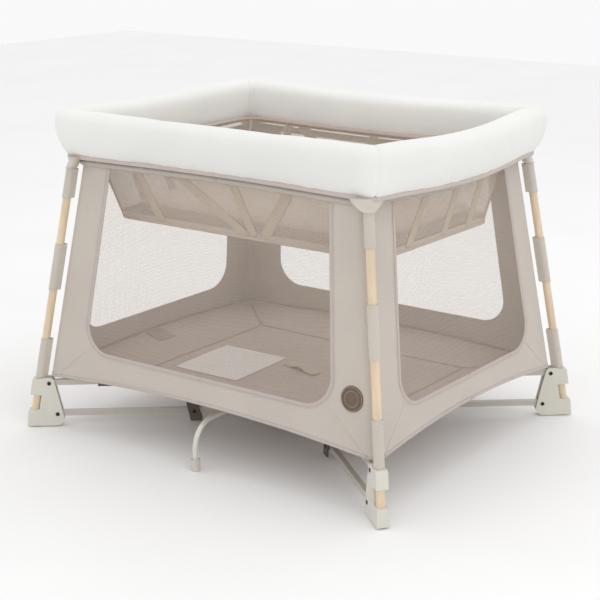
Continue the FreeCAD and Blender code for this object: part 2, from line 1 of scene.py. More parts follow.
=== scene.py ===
"""Looks of the travel play yard: sewn sides with mesh windows, padded rim, infant insert and mattress.

Metres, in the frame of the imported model: X along the long side, Y along the short side, Z up.
Soft pieces are designed in the +X +Y quarter and mirrored to the four corners.
"""
import json
import math

import bpy
import bmesh
import numpy as np
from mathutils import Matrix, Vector, noise


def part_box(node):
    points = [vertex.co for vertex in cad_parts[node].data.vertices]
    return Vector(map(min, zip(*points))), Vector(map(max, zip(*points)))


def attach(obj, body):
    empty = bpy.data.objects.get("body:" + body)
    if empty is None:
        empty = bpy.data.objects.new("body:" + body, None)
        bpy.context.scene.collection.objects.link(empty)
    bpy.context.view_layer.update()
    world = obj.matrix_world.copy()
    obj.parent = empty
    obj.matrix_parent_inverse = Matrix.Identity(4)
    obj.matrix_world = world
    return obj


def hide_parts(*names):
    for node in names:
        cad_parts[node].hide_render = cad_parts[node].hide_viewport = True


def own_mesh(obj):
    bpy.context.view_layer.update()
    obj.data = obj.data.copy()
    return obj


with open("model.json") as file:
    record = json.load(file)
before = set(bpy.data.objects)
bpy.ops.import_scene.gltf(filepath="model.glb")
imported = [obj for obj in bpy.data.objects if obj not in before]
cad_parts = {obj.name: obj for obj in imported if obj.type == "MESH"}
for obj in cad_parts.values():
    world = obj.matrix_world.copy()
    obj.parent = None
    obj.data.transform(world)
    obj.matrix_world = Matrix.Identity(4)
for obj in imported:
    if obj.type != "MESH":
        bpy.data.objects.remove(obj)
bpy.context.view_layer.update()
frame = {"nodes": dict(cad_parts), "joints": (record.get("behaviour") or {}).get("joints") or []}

# ---------------------------------------------------------------- sizes, from the frame where it holds them
CORNERS = {"front_left": (-1, -1), "front_right": (1, -1), "back_left": (-1, 1), "back_right": (1, 1)}
JOINTS = {j["name"]: j for j in frame["joints"]}
DIAGONAL = math.atan2(*reversed(JOINTS["leg_turn_back_right"]["pos_m"][:2]))
LEG_RUN = 0.6385           # plan distance of a leg's axis from the centre, on the floor
LEG_SLOPE = 114.5 / 620.0  # how much nearer it comes per metre of height
POLE_RADIUS = 0.00925
FLOOR_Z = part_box("floor_cloth_back_right")[0].z
INSERT_LOW, INSERT_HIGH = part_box("infant_insert")
MATTRESS_LOW, MATTRESS_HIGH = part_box("mattress")

PANEL_INSET = 0.012        # side cloth behind the legs' axes
CORNER_ROUND = 0.024       # radius of the cloth behind each leg
PANEL_TOP = 0.634
HEM_CORNER, HEM_RISE = 0.125, 0.022
RAIL_Z, RAIL_RADIUS = 0.632, 0.0075
TRIM_HALF_X, TRIM_HALF_Y, TRIM_ROUND = 0.424, 0.338, 0.029
LONG_BOW, SHORT_BOW, SHORT_SAG = 0.022, 0.018, 0.010
CREST_SAG = 0.006          # how far the long sides of the rim sink at their middle
CLOTH_THICKNESS = 0.0012
SLEEVE_THICKNESS = 0.0008
FLOOR_THICKNESS = 0.0014
TRIM_LIFT = 0.0008         # how far bindings and seams stand off the cloth


def leg_xy(z):
    """Where the leg's axis is at height z, in the +X +Y quarter."""
    run = LEG_RUN - LEG_SLOPE * z
    return run * math.cos(DIAGONAL), run * math.sin(DIAGONAL)


def rise(z):
    """0 low on the side, 1 at the rail."""
    return min(1.0, max(0.0, (z - 0.2) / 0.43))


def fold_back(u):
    """Distance from the middle of a side, without a crease where the two halves meet."""
    return math.sqrt(u * u + 0.0016)


def middle(u, half):
    """1 at the middle of a side, 0 at its corner."""
    return max(0.0, math.cos(math.pi / 2 * min(1.0, abs(u) / half))) ** 1.3


# ---------------------------------------------------------------- materials
def linear(r, g, b):
    """sRGB 0..255 to linear 0..1."""
    def one(c):
        c /= 255
        return c / 12.92 if c <= 0.04045 else ((c + 0.055) / 1.055) ** 2.4
    return (one(r), one(g), one(b), 1.0)


class Shader:
    """A node material with its Principled shader, object coordinates and short ways to add nodes."""

    def __init__(self, name, roughness, **sockets):
        self.material = bpy.data.materials.new(name)
        self.material.use_nodes = True
        self.nodes, self.links = self.material.node_tree.nodes, self.material.node_tree.links
        self.shader = self.nodes["Principled BSDF"]
        self.shader.inputs["Roughness"].default_value = roughness
        for socket, value in sockets.items():
            self.shader.inputs[socket.replace("_", " ")].default_value = value
        self.place = self.nodes.new("ShaderNodeTexCoord").outputs["Object"]

    def node(self, kind, settings=None, **inputs):
        made = self.nodes.new("ShaderNode" + kind)
        for key, value in (settings or {}).items():
            setattr(made, key, value)
        for key, value in inputs.items():
            socket = made.inputs[int(key[1:])] if key[0] == "i" and key[1:].isdigit() else made.inputs[key]
            if isinstance(value, bpy.types.NodeSocket):
                self.links.new(value, socket)
            else:
                socket.default_value = value
        return made

    def math(self, kind, a, b=0.0):
        return self.node("Math", {"operation": kind}, i0=a, i1=b).outputs[0]

    def noise(self, scale, detail=2.0, stretch=None):
        place = self.place
        if stretch:
            place = self.node("Mapping", Vector=place, Scale=stretch).outputs[0]
        return self.node("TexNoise", Vector=place, Scale=scale, Detail=detail).outputs["Fac"]

    def ramp(self, factor, low, high, dark, light):
        """A colour from dark to light as factor goes from low to high."""
        made = self.node("ValToRGB", Fac=factor)
        ends = made.color_ramp.elements
        ends[0].position, ends[0].color = low, dark
        ends[1].position, ends[1].color = high, light
        return made.outputs["Color"]

    def colour(self, socket):
        self.links.new(socket, self.shader.inputs["Base Color"])

    def bump(self, height, strength, distance):
        made = self.node("Bump", Height=height, Strength=strength, Distance=distance)
        self.links.new(made.outputs[0], self.shader.inputs["Normal"])

    def weave(self, period):
        """Threads over and under, the same whichever way the cloth faces."""
        scaled = self.node("VectorMath", {"operation": "SCALE"}, i0=self.place, Scale=2 * math.pi / period)
        waves = self.node("VectorMath", {"operation": "SINE"}, i0=scaled.outputs[0])
        x, y, z = self.node("SeparateXYZ", i0=waves.outputs[0]).outputs
        pairs = [self.math("MULTIPLY", a, b) for a, b in ((x, z), (y, z), (x, y))]
        return self.math("ADD", self.math("ADD", pairs[0], pairs[1]), pairs[2])


def shade(colour, factor):
    return tuple(c * factor for c in colour[:3]) + (1.0,)


def cloth(name, colour, period=0.0011, mottle=0.07, bump=0.25, sheen=0.25):
    """Woven cloth with heathered yarn and a slow drift of tone."""
    made = Shader(name, 0.92, Sheen_Weight=sheen, Sheen_Roughness=0.5)
    yarn = made.noise(900.0, 3.0)
    drift = made.noise(7.0, 3.0)
    tone = made.math("ADD", made.math("MULTIPLY", yarn, 0.65), made.math("MULTIPLY", drift, 0.35))
    made.colour(made.ramp(tone, 0.36, 0.64, shade(colour, 1 - mottle), shade(colour, 1 + mottle)))
    height = made.math("ADD", made.weave(period), made.math("MULTIPLY", yarn, 1.5))
    made.bump(height, bump, 0.0004)
    return made.material


def ribbed_cloth(name, colour):
    """Fine knitted ribs, as on the padded rim."""
    made = Shader(name, 0.85, Sheen_Weight=0.35, Sheen_Roughness=0.4)
    x, y, _ = made.node("SeparateXYZ", i0=made.place).outputs
    ribs = made.math("SINE", made.math("MULTIPLY", made.math("ADD", x, y), 2 * math.pi / 0.0032))
    drift = made.noise(5.0, 3.0)
    tone = made.math("ADD", made.math("MULTIPLY", ribs, 0.04), drift)
    made.colour(made.ramp(tone, 0.3, 0.7, shade(colour, 0.965), shade(colour, 1.02)))
    height = made.math("ADD", ribs, made.math("MULTIPLY", made.noise(700.0), 0.8))
    made.bump(height, 0.12, 0.0005)
    return made.material


def netting(name, colour, cover, period=0.0026):
    """Open mesh: round holes between knitted threads."""
    made = Shader(name, 0.8, Sheen_Weight=0.15)
    waves = made.weave(period)
    holes = made.math("MULTIPLY", waves, 0.2)
    uneven = made.math("MULTIPLY", made.noise(260.0), 0.04)
    alpha = made.math("ADD", made.math("ADD", holes, uneven), cover - 0.02)
    alpha = made.node("Clamp", Value=alpha, Min=0.08, Max=0.95).outputs[0]
    made.links.new(alpha, made.shader.inputs["Alpha"])
    made.colour(made.ramp(made.noise(300.0), 0.3, 0.7, shade(colour, 0.93), shade(colour, 1.05)))
    made.bump(waves, 0.2, 0.0004)
    return made.material


def webbing(name, colour):
    """Narrow tape with a herringbone of small ridges."""
    made = Shader(name, 0.85, Sheen_Weight=0.2)
    x, y, z = made.node("SeparateXYZ", i0=made.place).outputs
    slant = made.math("ADD", made.math("ADD", x, y), z)
    ridges = made.math("SINE", made.math("MULTIPLY", slant, 2 * math.pi / 0.0022))
    tone = made.math("ADD", made.math("MULTIPLY", ridges, 0.15), made.noise(400.0))
    made.colour(made.ramp(tone, 0.3, 0.7, shade(colour, 0.9), shade(colour, 1.08)))
    made.bump(ridges, 0.35, 0.0006)
    return made.material


def moulded(name, colour, roughness=0.5, mottle=0.03):
    """Moulded plastic with a fine spark texture and faint wear."""
    made = Shader(name, roughness, Specular_IOR_Level=0.4)
    drift = made.noise(14.0, 4.0)
    made.colour(made.ramp(drift, 0.3, 0.7, shade(colour, 1 - mottle), shade(colour, 1 + mottle)))
    rough = made.math("ADD", made.math("MULTIPLY", made.noise(60.0), 0.14), roughness - 0.07)
    made.links.new(rough, made.shader.inputs["Roughness"])
    made.bump(made.noise(1400.0, 2.0), 0.12, 0.0002)
    return made.material


def painted_metal(name, colour):
    """Satin powder coat with a slight orange peel."""
    made = Shader(name, 0.34, Metallic=0.25, Coat_Weight=0.15)
    made.colour(made.ramp(made.noise(9.0, 3.0), 0.3, 0.7, shade(colour, 0.96), shade(colour, 1.03)))
    made.bump(made.noise(500.0, 2.0), 0.08, 0.0003)
    return made.material


def steel(name, colour, roughness):
    """Metal, dark or bright, with a fine upright grain."""
    made = Shader(name, roughness, Metallic=0.9)
    made.colour(made.ramp(made.noise(40.0, 3.0), 0.3, 0.7, shade(colour, 0.85), shade(colour, 1.1)))
    made.bump(made.noise(900.0, 2.0, (1, 1, 0.1)), 0.1, 0.0002)
    return made.material


def wood(name, colour):
    """Pale beech: long grain up the pole with short darker flecks."""
    made = Shader(name, 0.45, Coat_Weight=0.2, Coat_Roughness=0.3)
    grain = made.noise(60.0, 5.0, (1.0, 1.0, 0.06))
    flecks = made.noise(420.0, 2.0, (1.0, 1.0, 0.09))
    tone = made.math("ADD", made.math("MULTIPLY", grain, 0.7), made.math("MULTIPLY", flecks, 0.3))
    made.colour(made.ramp(tone, 0.36, 0.66, shade(colour, 0.86), shade(colour, 1.06)))
    made.bump(flecks, 0.08, 0.0003)
    return made.material


def leather(name, colour):
    """Brown pressed patch."""
    made = Shader(name, 0.6, Specular_IOR_Level=0.35)
    cells = made.node("TexVoronoi", Vector=made.place, Scale=900.0).outputs["Distance"]
    made.colour(made.ramp(made.noise(120.0, 4.0), 0.3, 0.7, shade(colour, 0.85), shade(colour, 1.12)))
    made.bump(cells, 0.3, 0.0003)
    return made.material


SAND = linear(198, 189, 179)
MAUVE = linear(192, 180, 175)
MATERIALS = {
    "rim": ribbed_cloth("rim_knit", linear(234, 234, 231)),
    "side": cloth("side_weave", SAND),
    "corner": cloth("corner_weave", linear(202, 194, 183)),
    "binding": cloth("binding_tape", MAUVE, period=0.0008, mottle=0.05),
    "trim": cloth("rim_trim", linear(200, 187, 181), period=0.0008, mottle=0.06),
    "rail": cloth("rail_sleeve", linear(186, 178, 168), mottle=0.08),
    "seam": cloth("seam_thread", linear(212, 203, 193), period=0.0007, mottle=0.1, bump=0.4),
    "window": netting("window_net", linear(218, 203, 190), 0.24),
    "insert_net": netting("insert_net", linear(194, 180, 168), 0.62, 0.0022),
    "insert": cloth("insert_weave", linear(196, 184, 170)),
    "insert_piping": cloth("insert_piping", linear(196, 181, 168), period=0.0008),
    "floor": cloth("floor_weave", linear(190, 176, 166), mottle=0.08),
    "floor_seam": cloth("floor_seam", linear(166, 154, 143), period=0.0008),
    "patch": cloth("blank_patch", linear(246, 244, 241), period=0.0016, mottle=0.05),
    "mattress": cloth("mattress_knit", linear(192, 178, 162), mottle=0.06),
    "webbing": webbing("strap_webbing", linear(198, 184, 164)),
    "shell": moulded("beige_shell", linear(214, 211, 201)),
    "cap": moulded("cap_shell", linear(204, 198, 187)),
    "dark": moulded("dark_clip", linear(98, 88, 80), 0.45, 0.08),
    "hub": moulded("hub_shell", linear(120, 112, 104), 0.5, 0.05),
    "rubber": moulded("pad_rubber", linear(150, 145, 135), 0.8),
    "metal": painted_metal("link_coat", linear(200, 195, 186)),
    "tube": painted_metal("support_coat", linear(216, 212, 202)),
    "rivet": steel("rivet_black", linear(58, 54, 52), 0.35),
    "spring": steel("spring_wire", linear(190, 190, 190), 0.3),
    "wood": wood("beech_pole", linear(226, 204, 174)),
    "badge": leather("badge_patch", linear(112, 95, 80)),
}


# ---------------------------------------------------------------- mesh building
def add_mesh(name, verts, faces, material):
    """A smooth-shaded mesh object with its material, linked to the scene."""
    data = bpy.data.meshes.new(name)
    data.from_pydata([tuple(v) for v in verts], [], faces)
    data.validate()
    data.shade_smooth()
    obj = bpy.data.objects.new(name, data)
    bpy.context.scene.collection.objects.link(obj)
    data.materials.append(MATERIALS[material])
    return obj


def grid(name, points, material, signs=(1, 1), closed=False, capped=False, thickness=0.0):
    """A skin over rows and columns of points, mirrored to a corner by signs.

    closed joins the last column to the first, capped fills the first and last row.
    """
    points = np.asarray(points, float) * np.array([signs[0], signs[1], 1.0])
    rows, cols = points.shape[:2]
    across = cols if closed else cols - 1
    faces = []
    for i in range(rows - 1):
        for j in range(across):
            k = (j + 1) % cols
            faces.append((i * cols + j, i * cols + k, (i + 1) * cols + k, (i + 1) * cols + j))
    if capped:
        faces.append(tuple(range(cols))[::-1])
        faces.append(tuple((rows - 1) * cols + j for j in range(cols)))
    if signs[0] * signs[1] < 0:
        faces = [f[::-1] for f in faces]
    obj = add_mesh(name, points.reshape(-1, 3), faces, material)
    if closed and capped:
        outward(obj)
    if thickness:
        thicken(obj, thickness)
    return obj


def thicken(obj, thickness):
    """Give cloth its thickness, with a crisp cut edge so that its halves meet without a line."""
    skin = obj.modifiers.new("cloth_thickness", "SOLIDIFY")
    skin.thickness, skin.offset = thickness, 0.0
    skin.use_quality_normals = True
    freeze(obj)
    obj.data.set_sharp_from_angle(angle=math.radians(50))
    obj["skins"] = 2


def outward(obj, weld=False):
    """Turn a closed mesh's faces to face out; weld first joins the points that lie together."""
    made = bmesh.new()
    made.from_mesh(obj.data)
    if weld:
        bmesh.ops.remove_doubles(made, verts=made.verts, dist=1e-6)
    bmesh.ops.recalc_face_normals(made, faces=made.faces)
    made.to_mesh(obj.data)
    made.free()


def round_section(radius, sides=10):
    """A round outline, whose first point isn't repeated at its end."""
    return [(radius * math.cos(a), radius * math.sin(a)) for a in np.linspace(0, 2 * math.pi, sides, False)]


def tape_section(width, height):
    """A flat band with rounded edges."""
    w, h = width / 2, height / 2
    return [(-w, -h * 0.4), (-w * 0.9, -h), (0, -h), (w * 0.9, -h), (w, -h * 0.4), (w, h * 0.4),
            (w * 0.88, h * 0.9), (0, h), (-w * 0.88, h * 0.9), (-w, h * 0.4)]


def sweep(name, path, section, outward_side, material, signs=(1, 1), ring=False):
    """A section carried along a path; outward_side is the face that the section's second axis points to."""
    path = np.asarray(path, float)
    ahead = np.roll(path, -1, 0) - np.roll(path, 1, 0) if ring else np.gradient(path, axis=0)
    ahead /= np.linalg.norm(ahead, axis=1)[:, None]
    out = np.broadcast_to(np.asarray(outward_side, float), path.shape)
    side = np.cross(out, ahead)
    side /= np.linalg.norm(side, axis=1)[:, None]
    out = np.cross(ahead, side)
    rows = [[p + a * s + b * o for a, b in section] for p, s, o in zip(path, side, out)]
    if ring:
        rows.append(rows[0])
    obj = grid(name, rows, material, signs, closed=True, capped=not ring)
    if ring:
        outward(obj, weld=True)
    return obj


def spread(points, count):
    """The polyline's points, evenly respaced."""
    points = np.asarray(points, float)
    steps = np.r_[0, np.cumsum(np.linalg.norm(np.diff(points, axis=0), axis=1))]
    at = np.linspace(0, steps[-1], count)
    return np.column_stack([np.interp(at, steps, points[:, k]) for k in range(points.shape[1])])


def ripple(x, y, z, scale, seed):
    """Smooth noise, the same on both sides of a seam."""
    return noise.noise(Vector((x * scale + seed, y * scale, z * scale)))


def surface_area(obj):
    """The area of one face of the cloth."""
    return sum(p.area for p in obj.data.polygons) / obj.get("skins", 1)


# ---------------------------------------------------------------- riding
def squash_rule(side, signs):
    """How a half side crumples towards its leg: its axis and a point on the line that stays."""
    foot_x, foot_y = leg_xy(0.0)
    if side == "corner":
        lean = math.atan(LEG_SLOPE)
        level = math.cos(lean)
        axis = (level * math.cos(DIAGONAL) * signs[0], level * math.sin(DIAGONAL) * signs[1], math.sin(lean))
        return axis, (foot_x * signs[0], foot_y * signs[1], 0)
    slope = LEG_SLOPE * (math.cos(DIAGONAL) if side == "long" else math.sin(DIAGONAL))
    tilt = math.atan(slope)
    keep_back = PANEL_INSET + CORNER_ROUND
    if side == "long":
        return (math.cos(tilt) * signs[0], 0, math.sin(tilt)), ((foot_x - keep_back) * signs[0], 0, 0)
    return (0, math.cos(tilt) * signs[1], math.sin(tilt)), (0, (foot_y - keep_back) * signs[1], 0)


def fit(obj, body, replaces=None, rule=None):
    """Ride on a body and hide the part that it replaces; a piece that has a rule gets a mesh of its own."""
    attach(obj, body)
    if replaces:
        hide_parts(replaces)
    if rule:
        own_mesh(obj)
    return obj


SHORTEST_SIDE = 0.011  # a little over the least that a sheet's side may be
LEAST_SHARE = 0.31     # of its rectangle; a cut under 0.3 is refused, and the long side's frame is 0.286


def declare_sheet(obj):
    """Works out the sheet's sizes from the finished mesh, so they can't show that cloth is stretched or too
    small; nothing takes them further.
    """
    low = np.array([v.co for v in obj.data.vertices]).min(0)
    high = np.array([v.co for v in obj.data.vertices]).max(0)
    spans = sorted(high - low)[1:]
    area = surface_area(obj)
    width, length = max(spans[0], SHORTEST_SIDE), max(spans[1], SHORTEST_SIDE)
    if area > width * length:
        length = area / width
    area = max(area, LEAST_SHARE * width * length)


# ---------------------------------------------------------------- side cloth
def long_side(x, z):
    """A point of the long side's cloth."""
    leg_x, leg_y = leg_xy(z)
    share = middle(x, leg_x - PANEL_INSET - CORNER_ROUND)
    bow = LONG_BOW * rise(z) ** 1.5 * share
    puff = 0.0020 * ripple(fold_back(x), 9.0, z, 9.0, 3.1) * share
    return (x, leg_y - PANEL_INSET - bow + puff, z)


def short_side(y, z):
    """A point of the short side's cloth."""
    leg_x, leg_y = leg_xy(z)
    share = middle(y, leg_y - PANEL_INSET - CORNER_ROUND)
    bow = SHORT_BOW * rise(z) ** 1.5 * share
    sag = SHORT_SAG * rise(z) * share
    puff = 0.0020 * ripple(9.0, fold_back(y), z, 9.0, 7.7) * share
    return (leg_x - PANEL_INSET + bow + puff, y, z - sag)


def hem_z(u, half):
    """Height of the bottom hem, arched between the corners."""
    return HEM_CORNER + HEM_RISE * (1 - min(1.0, abs(u) / half) ** 2)


# point gives the cloth; leg is which of the leg's coordinates runs along the side; the rest is the window:
# its half width at its foot, how fast that narrows, the height of its foot, and its corner radius
SIDES = {
    "long": {"point": long_side, "leg": 0, "half": 0.343, "taper": 0.105, "foot": 0.207, "round": 0.062},
    "short": {"point": short_side, "leg": 1, "half": 0.274, "taper": 0.105, "foot": 0.204, "round": 0.058},
}
WINDOW_FOOT, WINDOW_ARC, WINDOW_EDGE = 26, 13, 26  # points along each part of the window's outline
HEM_POINTS = 32


def reach(side, z):
    """How far the flat part of a side goes before it rounds the leg."""
    return leg_xy(z)[SIDES[side]["leg"]] - PANEL_INSET - CORNER_ROUND


def window_edge(side, grow=0.0):
    """The window's outline from the middle of its foot, round its corner and up, as (along, height)."""
    s = SIDES[side]
    radius = s["round"] + grow
    foot = s["foot"] - grow
    def half(z):
        return s["half"] + grow - s["taper"] * (z - s["foot"])
    centre = (half(foot + radius) - radius, foot + radius)
    points = [(u, foot) for u in np.linspace(0, centre[0], WINDOW_FOOT)[:-1]]
    points += [(centre[0] + radius * math.sin(a), centre[1] - radius * math.cos(a))
               for a in np.linspace(0, math.pi / 2, WINDOW_ARC)]
    points += [(half(z), z) for z in np.linspace(centre[1], PANEL_TOP, WINDOW_EDGE)[1:]]
    return points


def frame_edge(side):
    """The matching outline of the cloth frame: along the hem, then up the leg."""
    corner = reach(side, HEM_CORNER)
    hem = [(u, hem_z(u, corner)) for u in np.linspace(0, corner, HEM_POINTS)]
    leg = [(reach(side, z), z) for z in np.linspace(HEM_CORNER, PANEL_TOP, 33)]
    return hem[:-1], leg


def make_side_half(side, corner, signs):
    """Half a side: cloth frame and mesh window, then their trims."""
    s, body = SIDES[side], f"leg_{corner}"
    point = s["point"]
    rule = squash_rule(side, signs)
    inner = window_edge(side)
    hem, leg = frame_edge(side)
    turn = HEM_POINTS - 1
    outer = np.vstack([spread(hem + leg[:1], turn + 1), spread(leg, len(inner) - turn)[1:]])
    rows = []
    for (u0, z0), (u1, z1) in zip(inner, outer):
        rows.append([point(u0 + (u1 - u0) * k, z0 + (z1 - z0) * k) for k in np.linspace(0, 1, 9)])
    label = f"{side}_{corner}"
    cloth_frame = grid(f"side_frame_{label}", rows, "side", signs, thickness=CLOTH_THICKNESS)
    fit(cloth_frame, body, f"side_cloth_{corner}", rule)
    declare_sheet(cloth_frame)

    arc_start = WINDOW_FOOT - 1
    net_rows = [[point(u * k, z) for k in np.linspace(0, 1, 15)] for u, z in inner[arc_start:]]
    net = grid(f"window_{label}", net_rows, "window", signs)
    fit(net, body, None, rule)
    declare_sheet(net)

    start, end = inner[arc_start + WINDOW_ARC // 2], outer[turn]
    seam = [(start[0] + (end[0] - start[0]) * k, start[1] + (end[1] - start[1]) * k)
            for k in np.linspace(0.02, 0.98, 24)]
    trim_side_half(side, label, signs, body, hem + leg[:1], seam)


def trim_side_half(side, label, signs, body, hem, seam):
    """Bindings round the window and along the hem, the stitching, and the mitre seam's two ridges."""
    level = np.array((0, 1, 0)) if side == "long" else np.array((1, 0, 0))
    along = 1 - level - np.array((0, 0, 1))
    normal = level + np.array((0, 0, 0.12))
    lift = normal * TRIM_LIFT
    point = SIDES[side]["point"]

    def on_cloth(line, up=0.0):
        return np.array([point(u, z + up) for u, z in line]) + lift

    trims = [
        (f"window_binding_{label}", on_cloth(window_edge(side, 0.0035)), tape_section(0.0085, 0.0022),
         "binding"),
        (f"window_stitch_{label}", on_cloth(window_edge(side, 0.0105)), round_section(0.0006, 6), "seam"),
        (f"hem_binding_{label}", on_cloth(hem, 0.003), tape_section(0.0075, 0.0026), "binding"),
    ]
    for number, shift in enumerate((-0.0012, 0.0012)):
        trims.append((f"mitre_seam_{number}_{label}", on_cloth(seam) + along * shift, round_section(0.0009, 8),
                      "seam"))
    for name, path, section, material in trims:
        piece = sweep(name, path, section, normal, material, signs)
        fit(piece, body, None, squash_rule(side, signs))


def corner_point(angle, z):
    """The cloth's rounded corner behind the leg; angle 0 meets the long side."""
    leg_x, leg_y = leg_xy(z)
    centre = (leg_x - PANEL_INSET - CORNER_ROUND, leg_y - PANEL_INSET - CORNER_ROUND)
    return (centre[0] + CORNER_ROUND * math.sin(angle), centre[1] + CORNER_ROUND * math.cos(angle), z)


def make_corner_cloth(corner, signs):
    """The strip of side cloth that turns the corner behind the leg, with its hem."""
    body = f"leg_{corner}"
    angles = np.linspace(0, math.pi / 2, 13)
    rows = [[corner_point(a, z) for a in angles] for z in np.linspace(HEM_CORNER, PANEL_TOP, 40)]
    strip = grid(f"corner_cloth_{corner}", rows, "side", signs, thickness=CLOTH_THICKNESS)
    rule = squash_rule("corner", signs)
    fit(strip, body, f"side_cloth_{corner}", rule)
    declare_sheet(strip)
    hem = [corner_point(a, HEM_CORNER + 0.003) for a in angles]
    sides = [(math.sin(a), math.cos(a), 0.12) for a in angles]
    tape = sweep(f"corner_hem_{corner}", hem, tape_section(0.0075, 0.0026), sides, "binding", signs)
    fit(tape, body, None, rule)


def sleeve_section():
    """Outline round the pole, drawn to a soft point where it is sewn to the corner cloth."""
    radius, tip = POLE_RADIUS + 0.0015, 0.0165
    points = [(radius * math.cos(a), radius * math.sin(a)) for a in np.radians(np.linspace(-118, 118, 19))]
    points += [(-tip * 0.62, 0.0052), (-tip, 0.0016), (-tip, -0.0016), (-tip * 0.62, -0.0052)]
    return points


SLEEVES = (("low", 0.121, 0.215), ("middle", 0.333, 0.441), ("high", 0.549, 0.616))


def make_sleeves(corner, signs):
    """Three cloth sleeves on the pole, each with stitched ends."""
    along = np.array([math.cos(DIAGONAL), math.sin(DIAGONAL), 0.0])
    across = np.array([-math.sin(DIAGONAL), math.cos(DIAGONAL), 0.0])
    section = sleeve_section()
    for name, low, high in SLEEVES:
        rows = []
        for z in np.linspace(low, high, 16):
            centre = np.array([*leg_xy(z), z])
            k = (z - low) / (high - low)
            swell = 1 + 0.03 * math.sin(math.pi * k) + 0.03 * ripple(z, 0.0, 0.0, 60.0, 1.3)
            rows.append([centre + along * a * (swell if a > 0 else 1) + across * b * swell
                         for a, b in section])
        sleeve = grid(f"sleeve_{name}_{corner}", rows, "corner", signs, closed=True,
                      thickness=SLEEVE_THICKNESS)
        fit(sleeve, f"leg_{corner}", f"side_cloth_{corner}")
        declare_sheet(sleeve)
        for end, row in (("foot", rows[1]), ("head", rows[-2])):
            bead = sweep(f"sleeve_{name}_{end}_{corner}", row, round_section(0.0009, 6), (0, 0, 1), "seam",
                         signs, ring=True)
            fit(bead, f"leg_{corner}")


def make_rail(corner, signs):
    """The rolled sleeve along the top of the sides, in three lengths."""
    lengths = {
        "long": [np.array(long_side(x, RAIL_Z)) + (0, 0.003, 0)
                 for x in np.linspace(0, reach("long", RAIL_Z), 40)],
        "corner": [np.array(corner_point(a, RAIL_Z)) + (0.003 * math.sin(a), 0.003 * math.cos(a), 0)
                   for a in np.linspace(0, math.pi / 2, 12)],
        "short": [np.array(short_side(y, RAIL_Z)) + (0.003, 0, 0)
                  for y in np.linspace(reach("short", RAIL_Z), 0, 36)],
    }
    for side, path in lengths.items():
        tube = sweep(f"rail_{side}_{corner}", path, round_section(RAIL_RADIUS, 14), (0, 0, 1), "rail", signs)
        rule = None if side == "corner" else squash_rule(side, signs)
        fit(tube, f"leg_{corner}", None, rule)


# ---------------------------------------------------------------- padded rim
RIM_PROFILE = (
    # (out from the trim line, height)
    (0.000, 0.6490), (0.0100, 0.6590), (0.0195, 0.6780), (0.0265, 0.7000), (0.0300, 0.7200),
    (0.0265, 0.7370), (0.0140, 0.7480), (-0.0030, 0.7520), (-0.0220, 0.7480),
    (-0.0345, 0.7360), (-0.0390, 0.7170),
    (-0.0400, 0.6960), (-0.0390, 0.6760), (-0.0350, 0.6610), (-0.0240, 0.6550), (-0.0120, 0.6510),
)
RIM_LONG, RIM_ARC, RIM_SHORT = 34, 19, 28  # rows along the long side, round the corner, along the short side
RIM_FIRST, RIM_LAST = RIM_LONG - 2, RIM_LONG + RIM_ARC + 1  # the corner length's end rows
RIM_SPANS = {
    "long": slice(0, RIM_FIRST + 1),
    "corner": slice(RIM_FIRST, RIM_LAST + 1),
    "short": slice(RIM_LAST, None),
}
SEAM_WIDTH, SEAM_DEPTH = 0.0022, 0.0026


def smooth_loop(points, count):
    """A closed curve through the points."""
    points = np.asarray(points, float)
    n = len(points)
    made = []
    for k in np.linspace(0, n, count, endpoint=False):
        i, f = int(k), k - int(k)
        a, b, c, d = (points[(i + o) % n] for o in (-1, 0, 1, 2))
        made.append(0.5 * (2 * b + (c - a) * f + (2 * a - 5 * b + 4 * c - d) * f ** 2
                           + (3 * b - a - 3 * c + d) * f ** 3))
    return made


def rim_line(out, z):
    """A quarter of a level line round the rim, from mid long side to mid short side."""
    half_x, half_y = TRIM_HALF_X + out, TRIM_HALF_Y + out
    radius = max(0.010, TRIM_ROUND + out)
    points = []
    for x in np.linspace(0, half_x - radius, RIM_LONG):
        points.append((x, half_y, z))
    arc = np.linspace(-1, 1, RIM_ARC + 2)
    for a in (math.pi / 4) * (1 + np.sign(arc) * np.abs(arc) ** 1.25)[1:-1]:
        points.append((half_x - radius + radius * math.sin(a), half_y - radius + radius * math.cos(a), z))
    for y in np.linspace(half_y - radius, 0, RIM_SHORT):
        points.append((half_x, y, z))
    bent = []
    for x, y, height in points:
        on_long = y > x * TRIM_HALF_Y / TRIM_HALF_X
        bow_long = middle(x, TRIM_HALF_X - TRIM_ROUND) if on_long else 0.0
        bow_short = middle(y, TRIM_HALF_Y - TRIM_ROUND) if not on_long else 0.0
        sink = CREST_SAG * bow_long * min(1.0, max(0.0, (z - 0.66) / 0.09))
        bent.append((x + SHORT_BOW * bow_short, y - LONG_BOW * bow_long,
                     height - SHORT_SAG * bow_short - sink))
    return np.array(bent)


